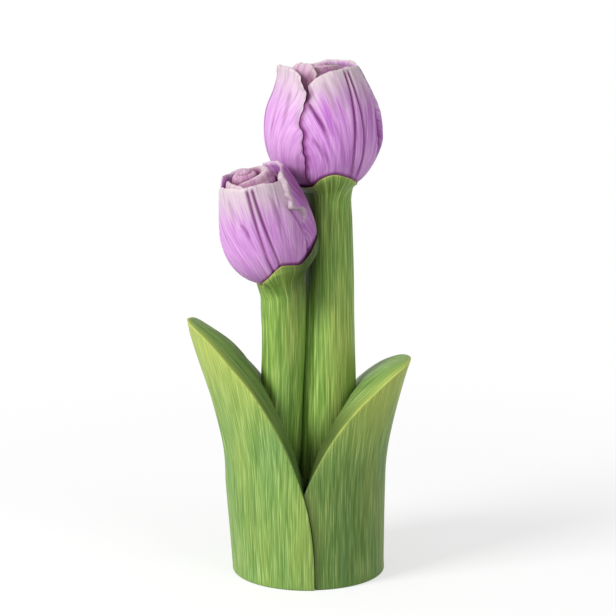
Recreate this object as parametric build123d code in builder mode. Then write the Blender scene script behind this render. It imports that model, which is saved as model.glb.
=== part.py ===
"""Two carved wooden tulips on green stems, rising between two leaves that form the foot.

Millimetres, +Z up, the front faces -Y. The origin is the centre of the foot's underside.
"""
import os
from math import asin, cos, degrees, radians, sin, sqrt
from typing import NamedTuple

from build123d import *

os.makedirs("parts", exist_ok=True)

# Fits
glue_gap = 0.15  # film of glue between turned or carved faces
seam_gap = 0.3  # shadow line between neighbouring leaves and petals
stem_gap = 0.3  # between the two stems where they stand together

# Foot: a ring made by the two leaves, round a block that carries the stems
foot_radius = 44.5
foot_bore_radius = 30.0
foot_edge_round = 1.2
block_height = 48.0

# Leaves: reach is measured from the centre line of the foot to the outer face
fork_height = 56.6  # where the two leaves part, at the front and at the back
left_fork_reach = 48.3
right_fork_reach = 45.0
left_tip_height = 151.3
left_tip_reach = 70.3
left_flare = 1.0  # how early the leaf turns outwards: 0 is late, 1 is early
right_tip_height = 128.0
right_tip_reach = 59.5
right_flare = 0.5
leaf_point = 0.42  # power of the leaf's front ridge: 0.5 is a parabola, less is blunter
leaf_bevel_point = 0.3  # the same for the inner edge of the broad bevel behind that ridge
left_back_point = 0.5  # and for both edges at the back of the left leaf
right_back_point = 0.39
leaf_tip_wall = 6.0
leaf_tip_width = 8.0
throat_reach = 32.5  # half of the opening between the leaves at the fork, from left to right
throat_depth = 22.5  # and from front to back
seam_foot_x = 3.7  # the front seam leans from here at the foot
seam_fork_x = -2.9  # to here at the fork
seam_lap = 1.0  # the left leaf stands proud of the right one by this much

# Stems: they stand side by side and touch low down
tall_stem_x = 11.6
tall_stem_y = 2.0
tall_stem_foot_radius = 17.5
tall_stem_waist_radius = 15.1
tall_stem_top_radius = 12.5
short_stem_foot_radius = 11.5
short_stem_waist_radius = 12.7
short_stem_top_radius = 13.3
waist_height = 150.0  # up to here the stems touch
foot_stagger = 6.0  # the short stem stands this much further forward at the foot
waist_stagger = 11.2  # and this much at the waist
collar_drop = 8.0  # from a flower's seat down to the top of the plain stem

# Flowers: sizes run along the flower's own axis, from its seat
tall_head_x = 11.9
tall_head_y = 11.5
tall_head_z = 224.7
tall_lean_left = 4.8
tall_lean_forward = -3.0
tall_head_radius = 34.4
tall_head_height = 72.5
tall_belly_height = 34.0
tall_rim_radius = 21.5
tall_underside = -2.0  # level of the flower's rounded underside
tall_seams = (-18.0, 87.0, 213.0)  # turns of the gaps between petals, from the front towards the right
tall_ribs = (37.0, 150.0, 278.0)  # turns of the petals' midribs
tall_inner_turn = 93.0  # turn of the first inner petal

short_head_x = -16.6
short_head_y = -13.0
short_head_z = 178.0
short_lean_left = 13.8
short_lean_forward = 10.0
short_head_radius = 27.8
short_head_height = 66.5
short_belly_height = 28.0
short_rim_radius = 18.0
short_underside = 1.0
short_seams = (-92.0, 48.0, 165.0)
short_ribs = (2.0, 107.0, 216.0)
short_inner_turn = 55.0

plug_radius = 8.0  # core of the bud, which the petals stand round
petal_wall = 5.0
petal_lip = 3.0
inner_petal_wall = 4.0
inner_petal_lip = 2.4
inner_petal_set_back = 2.5  # inner petals stand this much inside the outer ones at the rim
petal_crown = 3.0  # a petal's middle bulges this much more than its edges
petal_shoulder_drop = 21.0  # the rounded top of a petal starts this far below its tip
petal_top_share = 0.80  # half width of that round top, as a share of the flower's radius
rib_width = 5.0  # raised midrib between two gouge cuts
gouge_width = 1.5
gouge_depth = 1.3
gouge_start = 14.0
gouge_stop_drop = 7.0

# Bud: a rolled heart with a spiral cut in its top
bud_top_radius = 9.0
bud_drop = 2.0  # the bud ends this far below the petal tips
roll_width = 1.4
roll_step = 2.6
roll_depth = 8.0
roll_turns = 3

# Collar of each stem: a thin green cup under the flower, with three round lobes
collar_wall = 1.2
collar_low = 1.5
lobe_radius = 18.7
tall_lobe_turns = (9.0, 140.0, 249.0)
tall_lobe_tops = (12.0, 9.0, 12.0)
short_lobe_turns = (12.0, 85.0, 215.0)
short_lobe_tops = (17.4, 21.0, 14.0)

# Pegs
head_peg_level = 2.0  # a flower's peg is centred this far above its seat
head_peg_radius = 4.0
head_peg_half_length = 16.0
foot_peg_radius = 6.0
foot_peg_half_length = 22.0
peg_end_gap = 0.5

petals_per_ring = 3
ring_step = 360 / petals_per_ring


def save(part, name):
    """Name a finished piece and write it."""
    part.label = name
    export_step(part, f"parts/{name}.step")


class Arch(NamedTuple):
    """One side of a leaf's section: half of an ellipse, and how far it spreads from its middle."""

    reach: float
    depth: float
    front: float
    back: float


def leaf_section(level, side, outer, inner):
    """One flat crescent of a leaf, between an outer and an inner arch.

    Side is -1 for the left leaf and 1 for the right one. The spreads are degrees from the
    leaf's own middle line. Each ellipse is drawn as two arcs that meet on that line.
    """
    middle = 90 - side * 90
    fronts, backs = [], []
    with BuildSketch(Plane.XY.offset(level)) as crescent:
        with BuildLine():
            for reach, depth, front, back in (outer, inner):
                fronts.append(EllipticalCenterArc((0, 0), reach, depth, middle, arc_size=-side * front))
                backs.append(EllipticalCenterArc((0, 0), reach, depth, middle, arc_size=side * back))
            Line(*[arc @ 1 for arc in fronts])
            Line(*[arc @ 1 for arc in backs])
        make_face()
    return crescent.sketch


def leaf(side, depth, fork_reach, tip_height, tip_reach, flare, back_point):
    """A leaf: a half ring from the foot to the fork, then a thick blade that closes in to its tip.

    Each edge of the blade follows a power of what is left of the rise. At the front the inner edge
    closes in later than the ridge, so that a broad bevel faces the stems.
    """
    gap_angle = degrees(asin(seam_gap / 2 / foot_bore_radius))
    foot_front = 90 - side * degrees(asin(seam_foot_x / foot_radius)) - gap_angle
    front = 90 - side * degrees(asin(seam_fork_x / fork_reach)) - gap_angle
    back = 90 - gap_angle
    tip = degrees(asin(leaf_tip_width / 2 / depth))
    foot_outer = Arch(foot_radius, depth, foot_front, back)
    foot_inner = Arch(foot_bore_radius, foot_bore_radius, foot_front, back)
    fork_outer = Arch(fork_reach, depth, front, back)
    fork_inner = Arch(foot_bore_radius, foot_bore_radius, front, back)
    blade_sections = []
    for rise in (0, 0.15, 0.3, 0.45, 0.6, 0.75, 0.87, 0.95, 0.985, 1):
        left_over = 1 - rise
        reach = fork_reach + (tip_reach - fork_reach) * rise**2 * (1 + flare * left_over)
        throat = throat_reach + (tip_reach - leaf_tip_wall - throat_reach) * rise
        ridge = max(front * left_over**leaf_point, tip)
        back_ridge = max(back * left_over**back_point, tip)
        bevel = max(front * left_over**leaf_bevel_point, tip)
        outer = Arch(reach, depth, ridge, back_ridge)
        inner = Arch(throat, throat_depth, bevel, back_ridge)
        level = fork_height + (tip_height - fork_height) * rise
        blade_sections.append(leaf_section(level, side, outer, inner))
    with BuildPart() as blade:
        foot = leaf_section(0, side, foot_outer, foot_inner)
        loft(sections=[foot, leaf_section(fork_height, side, fork_outer, fork_inner)], ruled=True)
        underside = blade.edges().group_by(Axis.Z)[0]
        fillet(underside.sort_by(SortBy.LENGTH)[-2:], radius=foot_edge_round)
        loft(sections=blade_sections)
    return blade.part


left_leaf = leaf(
    -1, foot_radius, left_fork_reach, left_tip_height, left_tip_reach, left_flare, left_back_point
)
right_leaf = leaf(
    1,
    foot_radius - seam_lap,
    right_fork_reach,
    right_tip_height,
    right_tip_reach,
    right_flare,
    right_back_point,
)
save(left_leaf, "left_leaf")
save(right_leaf, "right_leaf")


# Stem places: both stand upright as far as the waist, the short one against the tall one
def beside_tall_stem(tall_radius, radius, stagger):
    """Centre of the short stem where it stands against the tall one."""
    apart = sqrt((tall_radius + radius + stem_gap) ** 2 - stagger**2)
    return tall_stem_x - apart, tall_stem_y - stagger


tall_foot = (tall_stem_x, tall_stem_y)
short_foot = beside_tall_stem(tall_stem_foot_radius, short_stem_foot_radius, foot_stagger)
short_waist = beside_tall_stem(tall_stem_waist_radius, short_stem_waist_radius, waist_stagger)

tall_head = Plane((tall_head_x, tall_head_y, tall_head_z)).rotated(
    (tall_lean_forward, -tall_lean_left, 0)
)
short_head = Plane((short_head_x, short_head_y, short_head_z)).rotated(
    (short_lean_forward, -short_lean_left, 0)
)


# Base block, bored for the two foot pegs
with BuildPart() as base_block:
    with BuildSketch():
        Circle(foot_bore_radius - glue_gap)
    extrude(amount=block_height)
    with BuildSketch(Plane.XY.offset(block_height)):
        with Locations(tall_foot, short_foot):
            Circle(foot_peg_radius + glue_gap)
    extrude(amount=-foot_peg_half_length - peg_end_gap, mode=Mode.SUBTRACT)
save(base_block.part, "base_block")


def peg(plane, radius, half_length):
    """A round peg with eased ends, half of it on each side of the plane."""
    with BuildPart() as piece:
        with BuildSketch(plane):
            Circle(radius)
        extrude(amount=half_length, both=True)
        chamfer(piece.edges().filter_by(GeomType.CIRCLE), length=radius / 8)
    return piece.part


for foot, name in ((tall_foot, "tall_foot_dowel"), (short_foot, "short_foot_dowel")):
    save(peg(Plane((*foot, block_height)), foot_peg_radius, foot_peg_half_length), name)

for head, name in ((tall_head, "tall_head_dowel"), (short_head, "short_head_dowel")):
    save(peg(head.offset(head_peg_level), head_peg_radius, head_peg_half_length), name)


def outward(head, turn):
    """The direction square to a flower's axis, at a turn from its front towards its right."""
    return head.x_dir * sin(radians(turn)) - head.y_dir * cos(radians(turn))


def across(head, turn):
    """Plane through a flower's axis: its x runs outwards and its y runs up the axis."""
    out = outward(head, turn)
    return Plane(head.origin, x_dir=out, z_dir=out.cross(head.z_dir))


def facing(head, turn):
    """Plane square to a petal's own direction: its x runs round the flower, its y up the axis."""
    out = outward(head, turn)
    return Plane(head.origin, x_dir=head.z_dir.cross(out), z_dir=out)


class Outline(NamedTuple):
    """A flower's outline, in radius and height: out from its foot to the belly, in to the rim."""

    radius: float
    belly: float
    rim: float
    top: float
    foot: float


def inset(outline, wall, lip):
    """The outline of the next layer in: smaller by a wall below and by a lip at the rim."""
    radius, belly, rim, top, foot = outline
    return Outline(radius - wall, belly, rim - lip, top, foot + wall)


def bell(outline, core):
    """Draw an outline: a quarter ellipse round the core, then an arc from the belly to the rim."""
    radius, belly, rim, top, foot = outline
    low = EllipticalCenterArc((core, belly), radius - core, belly - foot, 270, arc_size=90)
    high = TangentArc(low @ 1, (rim, top), tangent=(0, 1))
    return low, high


def solid_profile(head, outline):
    """Half section of a whole flower, closed along its axis."""
    with BuildSketch(across(head, 0)) as profile:
        with BuildLine():
            low, high = bell(outline, plug_radius)
            Polyline(high @ 1, (0, outline.top), (0, outline.foot), low @ 0)
        make_face()
    return profile.sketch


def wall_profile(head, turn, outer, inner):
    """Section of a petal: the wall between two outlines, standing round the bud's plug."""
    with BuildSketch(across(head, turn)) as profile:
        with BuildLine():
            low, high = bell(outer, plug_radius)
            inner_low, inner_high = bell(inner, plug_radius)
            Line(low @ 0, inner_low @ 0)
            Line(high @ 1, inner_high @ 1)
        make_face()
    return profile.sketch


def round_top(head, turn, outline):
    """Front view of a petal: full width low down, a half ellipse at the top."""
    width = 2 * outline.radius
    shoulder = outline.top - petal_shoulder_drop
    with BuildSketch(facing(head, turn)) as front:
        with BuildLine():
            crest = EllipticalCenterArc(
                (0, shoulder), petal_top_share * outline.radius, petal_shoulder_drop, arc_size=180
            )
            corners = [(-width, shoulder), (-width, -width), (width, -width), (width, shoulder)]
            Polyline(crest @ 1, *corners, crest @ 0)
        make_face()
    return front.sketch


def midrib(head, turn, outline):
    """The two gouge cuts beside a petal's midrib, as a solid to be cut away."""
    spread = ring_step / 6
    outside = inset(outline, -gouge_depth, -gouge_depth)
    inside = inset(outline, gouge_depth, gouge_depth)
    skin = wall_profile(head, turn - spread, outside, inside)
    length = outline.top - gouge_stop_drop - gouge_start
    with BuildSketch(facing(head, turn)) as strips:
        with Locations((0, gouge_start + length / 2)):
            with GridLocations(rib_width, 0, 2, 1):
                SlotOverall(length, gouge_width, rotation=90)
    with BuildPart() as cuts:
        revolve(skin, axis=Axis(head.origin, head.z_dir), revolution_arc=2 * spread)
        extrude(strips.sketch, amount=2 * outline.radius, mode=Mode.INTERSECT)
    return cuts.part


def roll(head, top):
    """A spiral band, made of half circles on two centres, for the rolled top of a bud."""
    shift = roll_step / 2
    with BuildSketch(head.offset(top)) as band:
        with BuildLine():
            for half in range(2 * roll_turns):
                centre = (shift * (half % 2), 0)
                CenterArc(centre, shift * (half + 1), 180 * half, 180)
        trace(line_width=roll_width)
    return band.sketch


def flower(head, outline, seams, ribs, inner_turn, name, outer_places):
    """Three outer petals, three inner petals inside them, and the bud that they stand round."""
    axis = Axis(head.origin, head.z_dir)
    gap_angle = degrees(asin(seam_gap / 2 / plug_radius))
    outer_back = inset(outline, petal_wall, petal_lip)
    inner_face = inset(outer_back, glue_gap, inner_petal_set_back)
    inner_back = inset(inner_face, inner_petal_wall, inner_petal_lip)
    crowned = outline._replace(radius=outline.radius - petal_crown, rim=outline.rim - petal_crown)

    next_seams = (*seams[1:], seams[0] + 360)
    for seam, next_seam, rib, place in zip(seams, next_seams, ribs, outer_places):
        aim = (seam + next_seam) / 2
        half_angle = (next_seam - seam) / 2 - gap_angle
        crown_centre = head.origin + outward(head, aim) * petal_crown
        crown_plane = Plane(crown_centre, x_dir=head.x_dir, z_dir=head.z_dir)
        with BuildPart() as petal:
            wall = wall_profile(head, aim - half_angle, outline, outer_back)
            revolve(wall, axis=axis, revolution_arc=2 * half_angle)
            revolve(
                solid_profile(crown_plane, crowned),
                axis=Axis(crown_centre, head.z_dir),
                mode=Mode.INTERSECT,
            )
            extrude(round_top(head, aim, outline), amount=2 * outline.radius, mode=Mode.INTERSECT)
            add(midrib(head, rib, outline), mode=Mode.SUBTRACT)
        save(petal.part, f"{name}_{place}_petal")

    half_angle = ring_step / 2 - gap_angle
    for step, place in enumerate(("right", "back", "left")):
        aim = inner_turn + step * ring_step
        with BuildPart() as petal:
            wall = wall_profile(head, aim - half_angle, inner_face, inner_back)
            revolve(wall, axis=axis, revolution_arc=2 * half_angle)
            extrude(round_top(head, aim, outline), amount=2 * outline.radius, mode=Mode.INTERSECT)
        save(petal.part, f"{name}_inner_petal_{place}")

    bud_face = inset(inner_back, glue_gap, glue_gap)
    bud_core = plug_radius - glue_gap
    bud_top = outline.top - bud_drop
    with BuildPart() as bud:
        with BuildSketch(across(head, 0)):
            with BuildLine():
                low, high = bell(bud_face._replace(rim=bud_top_radius, top=bud_top), bud_core)
                Polyline(high @ 1, (0, bud_top), (0, outline.foot), (bud_core, outline.foot), low @ 0)
            make_face()
        revolve(axis=axis)
        extrude(roll(head, bud_top), amount=-roll_depth, mode=Mode.SUBTRACT)
        with BuildSketch(head.offset(outline.foot)):
            Circle(head_peg_radius + glue_gap)
        bore_end = head_peg_level + head_peg_half_length + peg_end_gap
        extrude(amount=bore_end - outline.foot, mode=Mode.SUBTRACT)
    save(bud.part, f"{name}_bud")


tall_outline = Outline(
    tall_head_radius, tall_belly_height, tall_rim_radius, tall_head_height, tall_underside
)
short_outline = Outline(
    short_head_radius, short_belly_height, short_rim_radius, short_head_height, short_underside
)
flower(
    tall_head, tall_outline, tall_seams, tall_ribs, tall_inner_turn, "tall", ("front", "back", "left")
)
flower(
    short_head,
    short_outline,
    short_seams,
    short_ribs,
    short_inner_turn,
    "short",
    ("front", "right", "left"),
)


def disc(plane, centre, radius):
    """One round section of a stem."""
    with BuildSketch(plane) as section:
        with Locations(centre):
            Circle(radius)
    return section.sketch


def collar(head, outline, lobe_turns, lobe_tops):
    """The cup under a flower: a low ring that rises into round lobes."""
    with BuildPart() as lobes:
        with BuildSketch(head.offset(collar_low)):
            Circle(2 * outline.radius)
        extrude(amount=-collar_drop)
        for turn, top in zip(lobe_turns, lobe_tops):
            lobe = disc(facing(head, turn), (0, top - lobe_radius), lobe_radius)
            extrude(lobe, amount=2 * outline.radius)
    with BuildPart() as piece:
        skin = inset(outline, -glue_gap - collar_wall, -glue_gap - collar_wall)
        revolve(solid_profile(head, skin), axis=Axis(head.origin, head.z_dir))
        add(lobes.part, mode=Mode.INTERSECT)
    return piece.part


def stem(head, outline, foot, foot_radius, waist, waist_radius, top_radius, cup):
    """A tapered stem with a cup for its flower, bored at both ends for its pegs.

    It rises steadily from its foot to its waist, then leans over to its flower's seat.
    """
    neck_plane = head.offset(-collar_drop)
    bend_height = (waist_height + neck_plane.origin.Z) / 2
    bend_at = tuple((low + high) / 2 for low, high in zip(waist, neck_plane.origin))
    low_end = disc(Plane.XY.offset(block_height), foot, foot_radius)
    middle = disc(Plane.XY.offset(waist_height), waist, waist_radius)
    bend = disc(Plane.XY.offset(bend_height), bend_at, (waist_radius + top_radius) / 2)
    neck = disc(neck_plane, (0, 0), top_radius)
    seat = solid_profile(head, inset(outline, -glue_gap, -glue_gap))
    with BuildPart() as piece:
        loft(sections=[low_end, middle], ruled=True)
        loft(sections=[middle, bend, neck])
        extrude(neck, amount=collar_drop + outline.foot)
        add(cup)
        revolve(seat, axis=Axis(head.origin, head.z_dir), mode=Mode.SUBTRACT)
        with BuildSketch(head.offset(head_peg_level)):
            Circle(head_peg_radius + glue_gap)
        extrude(amount=-head_peg_half_length - peg_end_gap, mode=Mode.SUBTRACT)
        with BuildSketch(Plane((*foot, block_height))):
            Circle(foot_peg_radius + glue_gap)
        extrude(amount=foot_peg_half_length + peg_end_gap, mode=Mode.SUBTRACT)
    return piece.part


tall_stem = stem(
    tall_head,
    tall_outline,
    tall_foot,
    tall_stem_foot_radius,
    tall_foot,
    tall_stem_waist_radius,
    tall_stem_top_radius,
    collar(tall_head, tall_outline, tall_lobe_turns, tall_lobe_tops),
)
short_stem = stem(
    short_head,
    short_outline,
    short_foot,
    short_stem_foot_radius,
    short_waist,
    short_stem_waist_radius,
    short_stem_top_radius,
    collar(short_head, short_outline, short_lobe_turns, short_lobe_tops),
)
save(tall_stem, "tall_stem")
save(short_stem, "short_stem")
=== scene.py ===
from typing import NamedTuple

import bpy
import numpy as np
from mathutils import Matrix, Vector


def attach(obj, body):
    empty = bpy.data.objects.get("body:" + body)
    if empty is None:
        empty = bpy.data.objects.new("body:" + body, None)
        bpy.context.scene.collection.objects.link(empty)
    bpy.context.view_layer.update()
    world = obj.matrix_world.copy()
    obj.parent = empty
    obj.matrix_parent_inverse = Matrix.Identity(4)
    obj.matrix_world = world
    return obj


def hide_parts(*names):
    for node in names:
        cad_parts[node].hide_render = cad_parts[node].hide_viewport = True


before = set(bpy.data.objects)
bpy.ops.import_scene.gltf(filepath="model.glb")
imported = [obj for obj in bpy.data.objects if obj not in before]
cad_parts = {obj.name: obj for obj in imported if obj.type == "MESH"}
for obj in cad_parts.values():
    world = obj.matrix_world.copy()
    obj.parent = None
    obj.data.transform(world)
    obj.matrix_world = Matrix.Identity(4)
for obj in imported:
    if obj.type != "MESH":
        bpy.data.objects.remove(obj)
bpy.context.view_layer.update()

mm = 0.001


# Base block and pegs: the block is a turned disc of pale wood that fills the foot. Four round pegs
# are glued into it, into the stems and into the flower hearts. All of them are left as bare wood.
class Tone:
    """One socket of a node tree. Arithmetic on tones adds Math nodes, and node() adds any other node."""

    def __init__(self, tree, socket=None):
        self.tree = tree
        self.socket = socket

    def node(self, kind, settings, sockets, output=0):
        """Add a node: its settings are set first, then its sockets get their values or links."""
        made = self.tree.nodes.new(f"ShaderNode{kind}")
        for name, value in settings.items():
            setattr(made, name, value)
        for name, value in sockets.items():
            if isinstance(value, Tone):
                self.tree.links.new(value.socket, made.inputs[name])
            else:
                made.inputs[name].default_value = value
        return Tone(self.tree, made.outputs[output])

    def math(self, operation, *values):
        return self.node("Math", {"operation": operation}, dict(enumerate(values)))

    def __add__(self, other):
        return self.math("ADD", self, other)

    def __sub__(self, other):
        return self.math("SUBTRACT", self, other)

    def __rsub__(self, other):
        return self.math("SUBTRACT", other, self)

    def __mul__(self, other):
        return self.math("MULTIPLY", self, other)

    __radd__ = __add__
    __rmul__ = __mul__

    def between(self, low, high):
        """Eases from 0 at low to 1 at high."""
        ends = {"Value": self, "From Min": low, "From Max": high}
        return self.node("MapRange", {"interpolation_type": "SMOOTHSTEP"}, ends)

    def mix(self, first, second):
        """The first colour where this tone is 0 and the second where it is 1."""
        return self.node("Mix", {"data_type": "RGBA"}, {0: self, 6: first, 7: second}, 2)

    def streaks(self, scale, detail=3.0, shift=(0, 0, 0)):
        """Noise from 0 to 1 on these coordinates, stretched by a scale for each direction."""
        place = self.node("Mapping", {}, {"Vector": self, "Location": shift, "Scale": scale})
        return self.node("TexNoise", {}, {"Vector": place, "Scale": 1.0, "Detail": detail})


def colour(red, green, blue):
    """A colour as it looks on a screen, 0 to 255, as the linear values that a shader takes."""
    share = np.array([red, green, blue]) / 255
    linear = np.where(share <= 0.04045, share / 12.92, ((share + 0.055) / 1.055) ** 2.4)
    return (*linear.tolist(), 1.0)


def new_material(name):
    """An empty material with a Principled shader, and a tone to start its nodes from."""
    made = bpy.data.materials.new(name)
    made.use_nodes = True
    return made, Tone(made.node_tree)


dull_gloss = 0.25


def coat(material, base, roughness, relief, depth):
    """Feed a material's shader with a colour, a roughness and a relief that is depth metres high."""
    links = material.node_tree.links
    shader = material.node_tree.nodes["Principled BSDF"]
    shader.inputs["Specular IOR Level"].default_value = dull_gloss
    bump = relief.node("Bump", {}, {"Height": relief, "Distance": depth, "Strength": 1.0})
    for name, tone in (("Base Color", base), ("Roughness", roughness), ("Normal", bump)):
        links.new(tone.socket, shader.inputs[name])


bare_wood, start = new_material("bare_wood")
place = start.node("TexCoord", {}, {}, "Object")
pith_place = (0.014, -0.008, 0)
ring_stretch = (1, 1, 0.03)
ring_pitch = 2.6 * mm
ring_wander = 6 * mm
fibre_depth = 0.15 * mm
pith = place.node("Mapping", {}, {"Vector": place, "Location": pith_place, "Scale": ring_stretch})
wander = pith.streaks((45, 45, 45), 2.0)
radius = pith.node("VectorMath", {"operation": "LENGTH"}, {0: pith}, "Value") + wander * ring_wander
rings = radius.math("SINE", radius * (2 * np.pi / ring_pitch)) * 0.5 + 0.5
fibres = place.streaks((1400, 1400, 60))
early_wood, late_wood = colour(222, 188, 138), colour(182, 136, 88)
tan = (rings * 0.55 + fibres * 0.45).between(0.25, 0.85).mix(early_wood, late_wood)
coat(bare_wood, tan, 0.9 - fibres * 0.3, fibres * 0.6 + rings * 0.4, fibre_depth)

bare_nodes = ["base_block", "tall_foot_dowel", "short_foot_dowel", "tall_head_dowel", "short_head_dowel"]
for node in bare_nodes:
    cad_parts[node].data.materials.clear()
    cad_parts[node].data.materials.append(bare_wood)


# Leaves: two carved half shells that wrap round the block and stand on the table. Each rises into a
# thick blade, bevelled behind a crisp ridge. Glued to the block, painted with dry green brush strokes,
# with painted shade in the seam and throat, on the inner faces and bevels and low on the right leaf,
# and a pale ridge line that is partly a painted highlight.
def smooth(x, low, high):
    """Eases from 0 at low to 1 at high, level at both ends."""
    share = np.clip((x - low) / (high - low), 0, 1)
    return share * share * (3 - 2 * share)


def hump(x, middle, width):
    """A round bump of height 1 at the middle, that falls off over the width."""
    return np.exp(-(((x - middle) / width) ** 2))


def ripple(across, along, seed, wrap=64):
    """Hand-cut unevenness from -1 to 1: seeded random heights on a lattice, eased between corners."""
    length = 64
    heights = np.random.default_rng(seed).uniform(-1, 1, (wrap, length))
    left, low = np.floor(across).astype(int), np.floor(along).astype(int)
    x, y = smooth(across - left, 0, 1), smooth(along - low, 0, 1)
    left, right, low, high = left % wrap, (left + 1) % wrap, low % length, (low + 1) % length
    under = heights[left, low] * (1 - x) + heights[right, low] * x
    over = heights[left, high] * (1 - x) + heights[right, high] * x
    return under * (1 - y) + over * y


def make_piece(node, grid, marks, material):
    """Close a grid of points, in millimetres, into the mesh that stands for a node.

    Rows run along the piece and columns go round it, so the last column joins the first. Points that
    fall together are merged, which closes the ends, and squares that lose a corner become triangles.
    Marks are values at each point, which the paint reads.
    """
    rows, columns, _ = grid.shape
    points = grid.reshape(-1, 3) * mm
    _, kept, merged = np.unique(np.round(points, 8), axis=0, return_index=True, return_inverse=True)
    merged = merged.reshape(rows, columns)
    beside = np.roll(merged, -1, axis=1)
    squares = np.stack([merged[:-1], beside[:-1], beside[1:], merged[1:]], axis=-1).reshape(-1, 4)
    doubled = squares == np.roll(squares, -1, axis=1)
    cut = doubled.sum(axis=1) == 1
    triangles = squares[cut][~doubled[cut]].reshape(-1, 3)
    squares = squares[~doubled.any(axis=1)]
    points = points[kept]
    a, b, c, d = (points[squares[:, corner]] for corner in range(4))
    if np.einsum("ij,ij->", a, np.cross(b, c) + np.cross(c, d)) < 0:
        squares, triangles = squares[:, ::-1], triangles[:, ::-1]
    mesh = bpy.data.meshes.new(f"{node}_carved")
    mesh.from_pydata(points.tolist(), [], squares.tolist() + triangles.tolist())
    mesh.polygons.foreach_set("use_smooth", np.ones(len(mesh.polygons), bool))
    for name, values in marks.items():
        kind, field = ("FLOAT_VECTOR", "vector") if values.ndim == 3 else ("FLOAT", "value")
        layer = mesh.attributes.new(name, kind, "POINT")
        layer.data.foreach_set(field, values.reshape(rows * columns, -1)[kept].ravel())
    mesh.materials.append(material)
    piece = bpy.data.objects.new(f"{node}_carved", mesh)
    bpy.context.scene.collection.objects.link(piece)
    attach(piece, "root")
    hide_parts(node)


# Dark green for painted shade on the leaves and stems.
painted_shade_green = colour(38, 50, 20)
green_stroke_depth = 0.2 * mm


def green_paint(name, base, light, dark, worn_and_sheen, teal):
    """Green dry-brushed paint: streaks along the grain, pale on rubbed rims and as a painted highlight on
    leaf ridges, and dark green as painted shade.

    The grain is in millimetres, so a streak's scale is how many there are to a millimetre.
    """
    material, start = new_material(name)
    grain = start.node("Attribute", {"attribute_name": "grain"}, {}, "Vector")
    wear_and_sheen = start.node("Attribute", {"attribute_name": "wear_and_sheen"}, {}, "Fac")
    painted_shade = start.node("Attribute", {"attribute_name": "painted_shade"}, {}, "Fac")
    broad = grain.streaks((0.25, 0.25, 0.015), 2.0)
    fine = grain.streaks((1.25, 1.25, 0.03), 2.0, (7, 3, 1))
    hair = grain.streaks((2.6, 2.6, 0.055), 1.0, (2, 8, 5))
    patch = grain.streaks((0.05, 0.05, 0.015), 1.0, (3, 9, 4))
    stroke = broad * 0.2 + fine * 0.4 + hair * 0.4
    paint = stroke.between(0.39, 0.58).mix(dark, base)
    paint = (fine * 0.5 + hair * 0.5).between(0.5, 0.68).mix(paint, light)
    paint = (patch.between(0.5, 0.7) * 0.2).mix(paint, worn_and_sheen)
    paint = (patch.between(0.45, 0.25) * 0.2).mix(paint, teal)
    # Pale where paint is rubbed off rims and tips, and as a painted highlight along the leaf ridges.
    paint = (wear_and_sheen * (stroke * 1.4 + 0.3)).between(0.0, 1.0).mix(paint, worn_and_sheen)
    # Painted shade: dark green wherever the shade mark is high.
    paint = painted_shade.mix(paint, painted_shade_green)
    coat(material, paint, 0.62 - fine * 0.2, stroke, green_stroke_depth)
    return material


def crescent_loop(face, edge, corner):
    """Loop round a leaf's section: outer face, back edge, inner face, front edge, with eased corners.

    For each point: its share of the way from the front edge to the back one, what one radius of the
    outer and of the inner corners adds to it, and the same for the way from the outer face inwards.
    Here f runs along a face, e along an edge and a round a corner.
    """
    f = np.linspace(0, 1, face)
    e = np.linspace(0, 1, edge + 2)[1:-1]
    a = np.linspace(0, np.pi / 2, corner + 2)[1:-1]
    sides = [
        (f, 1 - 2 * f, 0 * f, 0 * f, 0 * f, 0 * f),
        (1 + 0 * a, np.sin(a) - 1, 0 * a, 0 * a, 1 - np.cos(a), 0 * a),
        (1 + 0 * e, 0 * e, 0 * e, e, 1 - e, -e),
        (1 + 0 * a, 0 * a, np.cos(a) - 1, 1 + 0 * a, 0 * a, np.sin(a) - 1),
        (1 - f, 0 * f, 2 * f - 1, 1 + 0 * f, 0 * f, 0 * f),
        (0 * a, 0 * a, 1 - np.sin(a), 1 + 0 * a, 0 * a, np.cos(a) - 1),
        (0 * e, 0 * e, 0 * e, 1 - e, e, e - 1),
        (0 * a, 1 - np.cos(a), 0 * a, 0 * a, 1 - np.sin(a), 0 * a),
    ]
    return np.concatenate(sides, axis=1)


foot_radius = 44.5
foot_bore_radius = 30.0
foot_edge_round = 1.2
block_height = 48.0
fork_height = 56.6
throat_reach = 32.5
throat_depth = 22.5
leaf_tip_wall = 6.0
leaf_tip_ease = 0.8
leaf_point = 0.42
leaf_bevel_point = 0.3
seam_foot_x = 3.7
seam_fork_x = -2.9
seam_lean = 2.5
seam_half_gap = 0.12
seam_lap = 1.0
bevel_round = 5.0
bevel_share = 0.4
bevel_opening = 0.12
round_limit = 0.45
nip_rise, nip_length = 0.82, 0.07
fill_start, fill_end = 0.4, 0.85
broad_cut, broad_cut_width, broad_cut_length = 0.45, 11, 46
fine_cut, fine_cut_width, fine_cut_length = 0.16, 3.2, 30
bevel_brush = 70
tip_brush_stretch = 12
ridge_line_width = 1.6
seam_shade_width = 4.0
throat_shade = 0.7
tip_wear = 0.6
edge_rows, foot_rows, blade_rows = 7, 60, 190
row_crowding = 2.4


class Leaf(NamedTuple):
    """One leaf: sizes in millimetres, powers and shares for its edges, and the strengths of its painted
    shade, its rubbed paint and the painted highlight on its ridge.
    """

    node: str
    side: int
    depth: float
    fork_reach: float
    tip_height: float
    tip_reach: float
    flare: float
    back_point: float
    back_nip: float
    ridge_round: float
    foot_shade: float
    seam_shade: float
    inner_shade: float
    bevel_shade_high: float
    bevel_shade_low: float
    ridge_wear_and_sheen: float


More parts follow.
